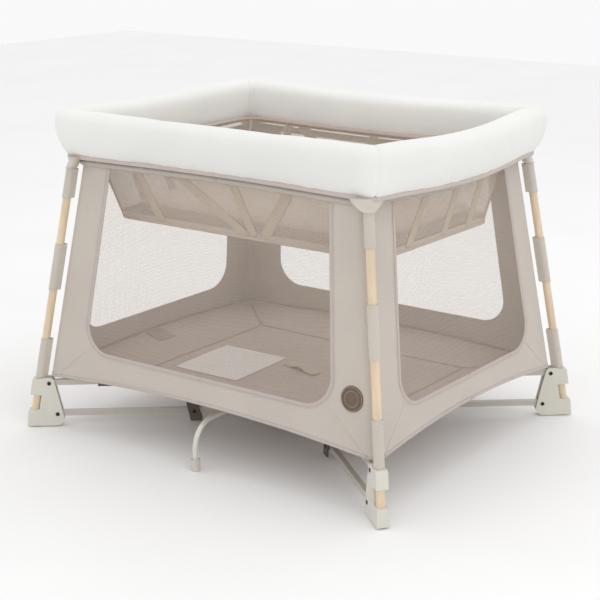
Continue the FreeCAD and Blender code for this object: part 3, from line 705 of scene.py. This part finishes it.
def rim_quarter():
    """The rim's skin as rows along it and columns round its section."""
    loop = smooth_loop(RIM_PROFILE, 48)
    lines = np.array([rim_line(out, z) for out, z in loop])
    rows = lines.transpose(1, 0, 2)
    centre = rows.mean(axis=1, keepdims=True)
    away = rows - centre
    away /= np.linalg.norm(away, axis=2, keepdims=True)
    corner_row = RIM_LONG + RIM_ARC // 2
    for i, row in enumerate(rows):
        to_seam = np.linalg.norm(centre[i, 0] - centre[corner_row, 0])
        groove = SEAM_DEPTH * math.exp(-(to_seam / SEAM_WIDTH) ** 2)
        for j, (x, y, z) in enumerate(row):
            low = max(0.0, 1 - (z - 0.649) / 0.03) if away[i, j, 2] < 0.2 else 0.0
            gather = 0.0011 * low * ripple(x, y, z * 0.2, 95.0, 4.2)
            fx, fy = fold_back(x), fold_back(y)
            wave = 0.0016 * ripple(fx, fy, z, 8.0, 2.0) + 0.0008 * ripple(fx, fy, z, 22.0, 5.0)
            rows[i, j] += away[i, j] * (wave + gather - groove)
    return rows


def make_rim(corner, signs, rows):
    """The padded cover in three lengths, the two straight ones each with a rule for crumpling to the corner.

    Gives back how each length crumples.
    """
    rules = {
        "long": ((1, 0, 0), (float(rows[RIM_FIRST][:, 0].mean()) * signs[0], 0, 0)),
        "corner": None,
        "short": ((0, 1, 0), (0, float(rows[RIM_LAST][:, 1].mean()) * signs[1], 0)),
    }
    for side, span in RIM_SPANS.items():
        cover = grid(f"rim_{side}_{corner}", rows[span], "rim", signs, closed=True)
        fit(cover, f"leg_{corner}", f"rim_cover_{corner}", rules[side])
    return rules


def make_trims(corner, signs, rules):
    """The gathered band under the cover's outer edge, and the piping under its inner edge."""
    outer, inner = rim_line(0.0, 0.6455), rim_line(-0.0350, 0.6590)
    for side, span in RIM_SPANS.items():
        band = spread(outer[span], 120 if side != "corner" else 40)
        out = level_normals(band)
        ruffle = np.array([0.0013 * ripple(x, y, 0.0, 120.0, 8.0) for x, y, _ in band])
        band += out * ruffle[:, None]
        band[:, 2] += 0.4 * ruffle
        trim = sweep(f"trim_{side}_{corner}", band, tape_section(0.0105, 0.0042), out, "trim", signs)
        fit(trim, f"leg_{corner}", None, rules[side])
        piping = sweep(f"inner_piping_{side}_{corner}", inner[span], round_section(0.0042, 10), (0, 0, 1),
                       "trim", signs)
        fit(piping, f"leg_{corner}", None, rules[side])


def level_normals(path):
    """The level direction across a path, pointing out of the yard."""
    ahead = np.gradient(path, axis=0)
    out = np.cross(ahead, (0.0, 0.0, -1.0))
    out /= np.linalg.norm(out, axis=1)[:, None]
    return out * np.sign((out[:, :2] * path[:, :2]).sum(axis=1))[:, None]


# ---------------------------------------------------------------- floor cloth
INNER_X, INNER_Y = 0.302, 0.236  # the stitched rectangle in the floor
EDGE_X, EDGE_Y = (across - PANEL_INSET - 0.003 for across in leg_xy(0.14))
FLOOR_CORNER = 0.062             # cut off the floor's outer corner, where a gusset on the leg takes over


def floor_rule(signs):
    """How a quarter of the floor crumples: across its upper link, towards the link's own plane."""
    return (-math.sin(DIAGONAL) * signs[0], math.cos(DIAGONAL) * signs[1], 0), (0, 0, FLOOR_Z)


def floor_point(x, y):
    """The floor cloth: flat in the middle, rising to the hem."""
    beyond = max((abs(x) - INNER_X) / (EDGE_X - INNER_X), (abs(y) - INNER_Y) / (EDGE_Y - INNER_Y), 0.0)
    climb = 0.014 + 0.014 * max(middle(x, EDGE_X) if abs(y) > INNER_Y else 0.0,
                                middle(y, EDGE_Y) if abs(x) > INNER_X else 0.0)
    soft = 0.0012 * ripple(x, y, 0.0, 7.0, 6.0) + 0.0007 * ripple(x, y, 0.0, 19.0, 1.0)
    groove = 0.0012 * math.exp(-(beyond * 40) ** 2) if beyond > 0 else 0.0
    return (x, y, FLOOR_Z + 0.0035 + climb * min(1.0, beyond) ** 1.4 + soft - groove)


def make_floor(corner, signs):
    """A quarter of the floor cloth, which hangs on its upper link, and the seams in it."""
    body = f"upper_arm_{corner}"
    rule = floor_rule(signs)
    xs = np.r_[np.linspace(0, INNER_X, 22), np.linspace(INNER_X, EDGE_X, 14)[1:]]
    shares = np.r_[np.linspace(0, INNER_Y, 18), np.linspace(INNER_Y, EDGE_Y, 12)[1:]] / EDGE_Y
    rows = []
    for x in xs:
        reach_y = EDGE_Y - max(0.0, x - (EDGE_X - FLOOR_CORNER))
        rows.append([world_floor(x, reach_y * share, signs) for share in shares])
    quarter = grid(f"floor_{corner}", rows, "floor", signs, thickness=FLOOR_THICKNESS)
    fit(quarter, body, f"floor_cloth_{corner}", rule)
    declare_sheet(quarter)
    lift = np.array([0, 0, 0.0012])
    slant_x, slant_y = EDGE_X - INNER_X, EDGE_Y - INNER_Y
    mitre_end = 1 - FLOOR_CORNER / (slant_x + slant_y)
    lines = {
        "long": [world_floor(x, INNER_Y, signs) for x in np.linspace(0, INNER_X, 24)],
        "short": [world_floor(INNER_X, y, signs) for y in np.linspace(0, INNER_Y, 20)],
        "mitre": [world_floor(INNER_X + slant_x * k, INNER_Y + slant_y * k, signs)
                  for k in np.linspace(0, mitre_end, 12)],
        "edge_long": [world_floor(x, EDGE_Y - 0.002, signs)
                      for x in np.linspace(0, EDGE_X - FLOOR_CORNER, 36)],
        "edge_short": [world_floor(EDGE_X - 0.002, y, signs)
                       for y in np.linspace(0, EDGE_Y - FLOOR_CORNER, 30)],
    }
    for name, line in lines.items():
        seam = sweep(f"floor_seam_{name}_{corner}", np.array(line) + lift, tape_section(0.008, 0.002),
                     (0, 0, 1), "floor_seam", signs)
        fit(seam, body, None, rule)


def make_gusset(corner, signs):
    """The corner piece between the floor and the side cloth, which stays with the leg when the yard folds."""
    start = world_floor(EDGE_X - FLOOR_CORNER, EDGE_Y, signs)
    end = world_floor(EDGE_X, EDGE_Y - FLOOR_CORNER, signs)
    arc = [corner_point(a, HEM_CORNER + 0.012) for a in np.linspace(0, math.pi / 2, 9)]
    inner, outer = spread([start, end], 21), spread([start] + arc + [end], 21)
    rows = [inner + (outer - inner) * k for k in np.linspace(0, 1, 6)]
    gusset = grid(f"floor_gusset_{corner}", rows, "floor", signs, thickness=FLOOR_THICKNESS)
    fit(gusset, f"leg_{corner}", None, squash_rule("corner", signs))
    declare_sheet(gusset)


def world_floor(x, y, signs):
    """floor_point in quarter coordinates, with ripples that differ from quarter to quarter."""
    return (x, y, floor_point(x * signs[0], y * signs[1])[2])


def make_hem_loop(corner, signs):
    """Webbing loop that ties the floor to the upper link, with its slider."""
    direction = np.array([math.cos(DIAGONAL), math.sin(DIAGONAL), 0.0])
    across = np.array([-math.sin(DIAGONAL), math.cos(DIAGONAL), 0.0])
    link_z = JOINTS["upper_arm_turn_back_right"]["pos_m"][2]
    loop = [(0.0078, 0.0085), (0.0078, -0.0085), (0.003, -0.0098), (-0.003, -0.0098), (-0.0078, -0.0085),
            (-0.0078, 0.0085), (-0.003, 0.0102), (0.003, 0.0102)]
    for name, near, far, material, grow in (("strap", 0.430, 0.446, "binding", 1.0),
                                            ("slider", 0.444, 0.482, "dark", 1.14)):
        rows = [[direction * run + across * a * grow + np.array([0, 0, link_z + b * grow]) for a, b in loop]
                for run in np.linspace(near, far, 5)]
        piece = grid(f"hem_{name}_{corner}", rows, material, signs, closed=True, thickness=0.0016)
        fit(piece, f"upper_arm_{corner}")


# ---------------------------------------------------------------- infant insert, mattress and small pieces
INSERT_FOOT_X, INSERT_FOOT_Y = 0.361, 0.229
INSERT_ROUND, INSERT_FLARE = 0.034, 0.014  # corner radius at the foot, and how much it grows to the top
WALL_STANDOFF = 0.0016                     # how far the straps stand off the net


def insert_half(z):
    """How far up the insert z is, its half length, half width and corner radius there."""
    f = (z - INSERT_LOW.z) / (INSERT_HIGH.z - INSERT_LOW.z)
    half_x = INSERT_FOOT_X + (INSERT_HIGH.x - INSERT_FOOT_X) * f
    half_y = INSERT_FOOT_Y + (INSERT_HIGH.y + 0.006 - INSERT_FOOT_Y) * f
    return f, half_x, half_y, INSERT_ROUND + INSERT_FLARE * f


def insert_ring(z):
    """A level line round the insert, whole, anticlockwise from the middle of its right side."""
    f, half_x, half_y, radius = insert_half(z)
    quarter = [(half_x, y) for y in np.linspace(0, half_y - radius, 16)]
    quarter += [(half_x - radius + radius * math.cos(a), half_y - radius + radius * math.sin(a))
                for a in np.linspace(0, math.pi / 2, 10)[1:-1]]
    quarter += [(x, half_y) for x in np.linspace(half_x - radius, 0, 22)]
    bent = []
    for x, y in quarter:
        if y >= x * half_y / half_x:
            y -= LONG_BOW * f * middle(x, half_x)
        bent.append((x, y))
    ring = bent[:-1]
    ring += [(-x, y) for x, y in bent[::-1][:-1]]
    ring += [(-x, -y) for x, y in bent[:-1]]
    ring += [(x, -y) for x, y in bent[::-1][:-1]]
    return [(x, y, z) for x, y in ring]


def insert_wall(u, f, side):
    """A point just outside an insert wall: u along it, f from its foot to its top."""
    z = INSERT_LOW.z + f * (INSERT_HIGH.z - INSERT_LOW.z)
    _, half_x, half_y, _ = insert_half(z)
    if side in ("front", "back"):
        y = half_y - LONG_BOW * f * middle(u, half_x) + WALL_STANDOFF
        return (u, y if side == "back" else -y, z)
    x = half_x + WALL_STANDOFF
    return (x if side == "right" else -x, u, z)


STRAPS = {
    # (place along the wall at the top, at the foot)
    "front": ((-0.265, -0.222), (-0.190, 0.030), (0.000, 0.042), (0.195, 0.062)),
    "back": ((-0.250, -0.262), (-0.212, 0.000), (0.014, -0.004), (0.205, 0.030)),
    "right": ((-0.053, -0.125), (0.074, 0.020), (0.177, 0.126)),
    "left": ((-0.177, -0.126), (-0.074, -0.020), (0.053, 0.125)),
}
OUT = {"front": (0, -1, -0.35), "back": (0, 1, -0.35), "right": (1, 0, -0.1), "left": (-1, 0, -0.1)}


def make_insert():
    """Mesh walls on a firm bottom, piped edges and webbing straps."""
    levels = [insert_ring(z) for z in np.linspace(INSERT_LOW.z + 0.002, INSERT_HIGH.z, 12)]
    walls = grid("insert_walls", levels, "insert_net", closed=True)
    fit(walls, "insert", "infant_insert")
    foot = insert_ring(INSERT_LOW.z + 0.002)
    rings = [[(x * k, y * k, z + 0.0004 * ripple(x * k, y * k, 0, 9.0, 2.0)) for x, y, z in foot]
             for k in (1.0, 0.9, 0.75, 0.5, 0.25, 0.02)]
    bottom = grid("insert_bottom", rings, "insert", closed=True, thickness=0.0028)
    fit(bottom, "insert", "infant_insert")
    declare_sheet(bottom)
    for name, z, radius in (("foot", INSERT_LOW.z + 0.003, 0.0046), ("top", INSERT_HIGH.z, 0.0038)):
        ring = sweep(f"insert_piping_{name}", insert_ring(z), round_section(radius, 10), (0, 0, 1),
                     "insert_piping", ring=True)
        fit(ring, "insert")
    lower = [insert_ring(z) for z in np.linspace(INSERT_LOW.z + 0.003, INSERT_LOW.z + 0.016, 3)]
    band = [[(x * 1.003, y * 1.004, z) for x, y, z in line] for line in lower]
    hem = grid("insert_foot_band", band, "insert", closed=True, thickness=CLOTH_THICKNESS)
    fit(hem, "insert")
    for sx in (-1, 1):
        for sy in (-1, 1):
            path = []
            for z in np.linspace(INSERT_LOW.z + 0.002, INSERT_HIGH.z, 14):
                _, half_x, half_y, radius = insert_half(z)
                reach_in = radius * (1 - math.sqrt(0.5))
                path.append((sx * (half_x - reach_in), sy * (half_y - reach_in), z))
            pipe = sweep(f"insert_corner_{'m' if sx < 0 else 'p'}{'m' if sy < 0 else 'p'}", path,
                         round_section(0.0032, 8), (sx, sy, 0), "insert_piping")
            fit(pipe, "insert")
    for side, straps in STRAPS.items():
        for number, (top, foot_u) in enumerate(straps):
            line = [insert_wall(foot_u + (top - foot_u) * f, f, side) for f in np.linspace(0.03, 1.0, 16)]
            strap = sweep(f"insert_strap_{side}_{number}", line, tape_section(0.024, 0.0016), OUT[side],
                          "webbing")
            fit(strap, "insert")


MATTRESS_ROUND = 0.045


def mattress_outline(inset):
    """The pad's outline from above, drawn in by inset."""
    radius = MATTRESS_ROUND - inset
    centre_x, centre_y = MATTRESS_HIGH.x - MATTRESS_ROUND, MATTRESS_HIGH.y - MATTRESS_ROUND
    corner = [(centre_x + radius * math.cos(a), centre_y + radius * math.sin(a))
              for a in np.linspace(0, math.pi / 2, 8)]
    full = corner + [(-x, y) for x, y in corner[::-1]]
    return full + [(-x, -y) for x, y in full]


def make_mattress():
    """A thin pad: a rounded slab inflated as cloth, then creased where it folds."""
    low, high = MATTRESS_LOW.z, MATTRESS_HIGH.z
    profile = ((0.030, low + 0.003), (0.008, low + 0.004), (0.004, low + 0.010),
               (0.004, high - 0.010), (0.008, high - 0.004), (0.030, high - 0.003))
    rows = [[(x, y, z) for x, y in mattress_outline(inset)] for inset, z in profile]
    pad = grid("mattress_pad", rows, "mattress", closed=True, capped=True)
    apply(pad, "REMESH", mode="VOXEL", voxel_size=0.006)
    inflate(pad, pressure=3.0, cap=0.008)
    crease(pad, low, high)
    pad.data.shade_smooth()
    fit(pad, "pad", "mattress")
    for name, z in (("top", high - 0.006), ("foot", low + 0.006)):
        line = [(x, y, z) for x, y in mattress_outline(0.0)]
        path = on_surface(pad, spread(line + line[:1], 160)[:-1])
        piping = sweep(f"mattress_piping_{name}", path, round_section(0.0026, 8), (0, 0, 1), "insert_piping",
                       ring=True)
        fit(piping, "pad")


def on_surface(obj, path):
    """The closed path moved sideways onto the piece's surface, each point at its own height, then evened."""
    bpy.context.view_layer.update()
    places = np.array(path, float)
    for point in places:
        _, place, _, _ = obj.closest_point_on_mesh(Vector(point))
        point[:2] = place.x, place.y
    return (np.roll(places, 1, 0) + places + np.roll(places, -1, 0)) / 3


def apply(obj, kind, **settings):
    """Add a modifier and make its result the mesh."""
    made = obj.modifiers.new(kind.lower(), kind)
    for key, value in settings.items():
        setattr(made, key, value)
    freeze(obj)


def freeze(obj):
    """Make the modified shape the mesh, and keep the material."""
    graph = bpy.context.evaluated_depsgraph_get()
    data = bpy.data.meshes.new_from_object(obj.evaluated_get(graph))
    obj.modifiers.clear()
    materials = list(obj.data.materials)
    obj.data = data
    data.materials.clear()
    for material in materials:
        data.materials.append(material)


SIM_FRAMES = 20
FOLDS = (-0.173, 0.0, 0.173)  # where the mattress folds, along X
FOLD_DEPTH, FOLD_WIDTH = 0.30, 0.005
PAD_SWELL = 0.003             # how far the pad may stand past its solid


def inflate(obj, pressure, cap):
    """Blow the cloth up a little, with no point moving further than cap."""
    rest = np.array([v.co for v in obj.data.vertices])
    cloth_mod = obj.modifiers.new("inflate", "CLOTH")
    settings = cloth_mod.settings
    settings.quality = 5
    settings.use_pressure = True
    settings.uniform_pressure_force = pressure
    settings.effector_weights.gravity = 0.0
    cloth_mod.point_cache.frame_end = SIM_FRAMES
    for number in range(1, SIM_FRAMES + 1):
        bpy.context.scene.frame_set(number)
    freeze(obj)
    moved = np.array([v.co for v in obj.data.vertices])
    step = moved - rest
    far = np.linalg.norm(step, axis=1, keepdims=True)
    step *= np.minimum(1.0, cap / np.maximum(far, 1e-9))
    obj.data.vertices.foreach_set("co", (rest + step).reshape(-1))
    obj.data.update()
    bpy.context.scene.frame_set(1)


def crease(obj, low, high):
    """Keep the pad in its space and press its fold lines in."""
    points = np.array([v.co for v in obj.data.vertices])
    centre = (low + high) / 2
    half = (high - low) / 2
    for line in FOLDS:
        depth = FOLD_DEPTH * np.exp(-((points[:, 0] - line) / FOLD_WIDTH) ** 2)
        points[:, 2] = centre + (points[:, 2] - centre) * (1 - depth)
    points[:, 2] = np.clip(points[:, 2], centre - half - 0.001, centre + half + PAD_SWELL)
    for axis, edge in ((1, MATTRESS_HIGH.y), (0, MATTRESS_HIGH.x)):
        points[:, axis] = np.clip(points[:, axis], -edge - PAD_SWELL, edge + PAD_SWELL)
    obj.data.vertices.foreach_set("co", points.reshape(-1))
    obj.data.update()


BADGE_X, BADGE_Z, BADGE_RADIUS = 0.3915, 0.239, 0.027
# (share of the radius, how far it stands off the cloth), from the middle out, with a pressed groove
BADGE_PROFILE = ((0.02, 0.0026), (0.5, 0.0026), (0.80, 0.0026), (0.83, 0.0019), (0.86, 0.0026),
                 (0.96, 0.0024), (1.0, 0.0012))


def badge_ring(share, lift):
    """A circle on the long side's cloth, share of the badge's radius, standing off by lift."""
    ring = []
    for a in np.linspace(0, 2 * math.pi, 48, False):
        x, y, z = long_side(BADGE_X + BADGE_RADIUS * share * math.cos(a),
                            BADGE_Z + BADGE_RADIUS * share * math.sin(a))
        ring.append((x, y + lift, z))
    return ring


def make_badge():
    """A plain round patch on the long side near the front right leg, with two rings of stitching."""
    signs = CORNERS["front_right"]
    rule = squash_rule("long", signs)
    rows = [badge_ring(share, lift) for share, lift in BADGE_PROFILE]
    patch = grid("round_patch", rows, "badge", signs, closed=True, capped=True)
    patch["skins"] = 2
    fit(patch, "leg_front_right", None, rule)
    declare_sheet(patch)
    for name, share in (("outer", 0.92), ("inner", 0.60)):
        stitch = sweep(f"round_patch_stitch_{name}", badge_ring(share, 0.0030), round_section(0.0006, 6),
                       (0, 1, 0), "floor_seam", signs, ring=True)
        fit(stitch, "leg_front_right", None, rule)


def make_floor_patch():
    """A blank white cloth patch sewn to the floor, and a tab by the left side."""
    body = "upper_arm_front_left"
    rule = floor_rule(CORNERS["front_left"])
    skew = math.sin(math.radians(-2))
    left, right, near, far = -0.262, -0.078, -0.158, 0.045
    rows = []
    for u in np.linspace(0, 1, 16):
        row = []
        for v in np.linspace(0, 1, 16):
            y = near + (far - near) * v
            x = left + (right - left) * u + skew * (y + 0.056)
            row.append((x, y, floor_point(x, y)[2] + 0.0022 + 0.0008 * ripple(x, y, 0, 26.0, 3.0)))
        rows.append(row)
    patch = grid("floor_patch", rows, "patch", thickness=0.0006)
    fit(patch, body, None, rule)
    declare_sheet(patch)
    rows = [[(x, y, floor_point(x, y)[2] + 0.0024) for y in np.linspace(-0.058, -0.004, 8)]
            for x in np.linspace(-0.445, -0.392, 8)]
    tab = grid("floor_tab", rows, "floor_seam", thickness=FLOOR_THICKNESS)
    fit(tab, body, None, rule)
    declare_sheet(tab)


def make_pull_strap():
    """Webbing pull with a raised grip, sewn down to the plunger's head."""
    low_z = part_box("pull_strap")[0].z
    angle = math.radians(-14)
    line = []
    for u in np.linspace(-0.052, 0.052, 40):
        arch = 0.0075 * max(0.0, math.cos(math.pi * u / 0.07)) ** 2
        line.append((u * math.cos(angle), u * math.sin(angle), low_z + 0.0016 + arch))
    strap = sweep("pull_strap_web", line, tape_section(0.026, 0.0024), (0, 0, 1), "webbing")
    fit(strap, "latch", "pull_strap")
    for number, u in enumerate((-0.043, 0.043)):
        path = [(u * math.cos(angle) - v * math.sin(angle), u * math.sin(angle) + v * math.cos(angle),
                 low_z + 0.0031) for v in np.linspace(-0.011, 0.011, 10)]
        stitch = sweep(f"pull_strap_stitch_{number}", path, round_section(0.0008, 6), (0, 0, 1), "seam")
        fit(stitch, "latch")


# ---------------------------------------------------------------- the frame's own pieces
NODE_LOOKS = {
    "leg_pole": "wood", "foot_shell": "shell", "foot_pad": "rubber", "foot_rivets": "rivet", "leg_cap": "cap",
    "link_clip": "dark", "clip_rivets": "rivet", "lower_link": "metal", "upper_link": "metal",
    "hub_body": "hub", "hub_cover": "hub", "hub_pins": "rivet", "latch_plunger": "hub",
    "latch_spring": "spring", "support_leg": "tube", "support_foot": "cap",
}
BEVELS = {"foot_shell": 0.0014, "leg_cap": 0.0008, "link_clip": 0.0008, "lower_link": 0.0014,
          "upper_link": 0.0014, "hub_body": 0.0010}


def dress_nodes():
    """Give each hard piece its material, soften its edges, and give the latch's spring a mesh of its own."""
    for name, obj in frame["nodes"].items():
        kind = next((k for k in NODE_LOOKS if name.startswith(k)), None)
        if kind is None:
            continue
        obj.data.materials.clear()
        obj.data.materials.append(MATERIALS[NODE_LOOKS[kind]])
        if kind in BEVELS:
            edge = obj.modifiers.new("edge", "BEVEL")
            edge.width, edge.segments, edge.limit_method = BEVELS[kind], 2, "ANGLE"
            edge.angle_limit = math.radians(40)
            edge.harden_normals = False
    # the plunger's flange takes up 12 mm of the spring's 46 mm as the latch is pulled
    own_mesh(frame["nodes"]["latch_spring"])


# ---------------------------------------------------------------- stage
def make_stage():
    """Pale floor, soft studio light, and the camera at the picture's angle."""
    scene = bpy.context.scene
    scene.view_settings.view_transform = "Standard"
    bpy.ops.mesh.primitive_plane_add(size=14, location=(0, 0, 0))
    ground = bpy.context.object
    ground.name = "studio_floor"
    made = Shader("studio_floor", 0.9)
    made.colour(made.ramp(made.noise(2.0), 0.3, 0.7, (0.93, 0.93, 0.93, 1), (0.95, 0.95, 0.95, 1)))
    ground.data.materials.append(made.material)
    world = bpy.data.worlds.new("studio")
    scene.world = world
    world.use_nodes = True
    world.node_tree.nodes["Background"].inputs["Color"].default_value = (1, 1, 1, 1)
    world.node_tree.nodes["Background"].inputs["Strength"].default_value = 0.95
    lamps = (("key", (2.8, -1.4, 2.2), 2.0, 9), ("fill", (-2.4, -2.2, 1.9), 2.4, 2),
             ("top", (0.2, 0.4, 3.2), 2.4, 12))
    for name, place, size, power in lamps:
        data = bpy.data.lights.new(name, "AREA")
        data.energy, data.size = power, size
        lamp = bpy.data.objects.new(name, data)
        scene.collection.objects.link(lamp)
        lamp.location = place
        lamp.rotation_euler = (Vector((0, 0, 0.4)) - Vector(place)).to_track_quat("-Z", "Y").to_euler()
    data = bpy.data.cameras.new("camera")
    camera = bpy.data.objects.new("camera", data)
    scene.collection.objects.link(camera)
    azimuth, elevation, distance = math.radians(36.03), math.radians(14.9), 3.454
    back = Vector((math.sin(azimuth) * math.cos(elevation), -math.cos(azimuth) * math.cos(elevation),
                   math.sin(elevation)))
    camera.location = Vector((0, 0, 0.35)) + back * distance
    camera.rotation_euler = (-back).to_track_quat("-Z", "Y").to_euler()
    data.sensor_width, data.lens = 36.0, 88.72
    data.shift_x, data.shift_y = -0.0036, -0.0364
    scene.camera = camera


make_stage()
dress_nodes()
rim_rows = rim_quarter()
for corner, signs in CORNERS.items():
    for side in SIDES:
        make_side_half(side, corner, signs)
    make_corner_cloth(corner, signs)
    make_sleeves(corner, signs)
    make_rail(corner, signs)
    rim_rules = make_rim(corner, signs, rim_rows)
    make_trims(corner, signs, rim_rules)
    make_floor(corner, signs)
    make_gusset(corner, signs)
    make_hem_loop(corner, signs)
make_insert()
make_mattress()
make_badge()
make_floor_patch()
make_pull_strap()
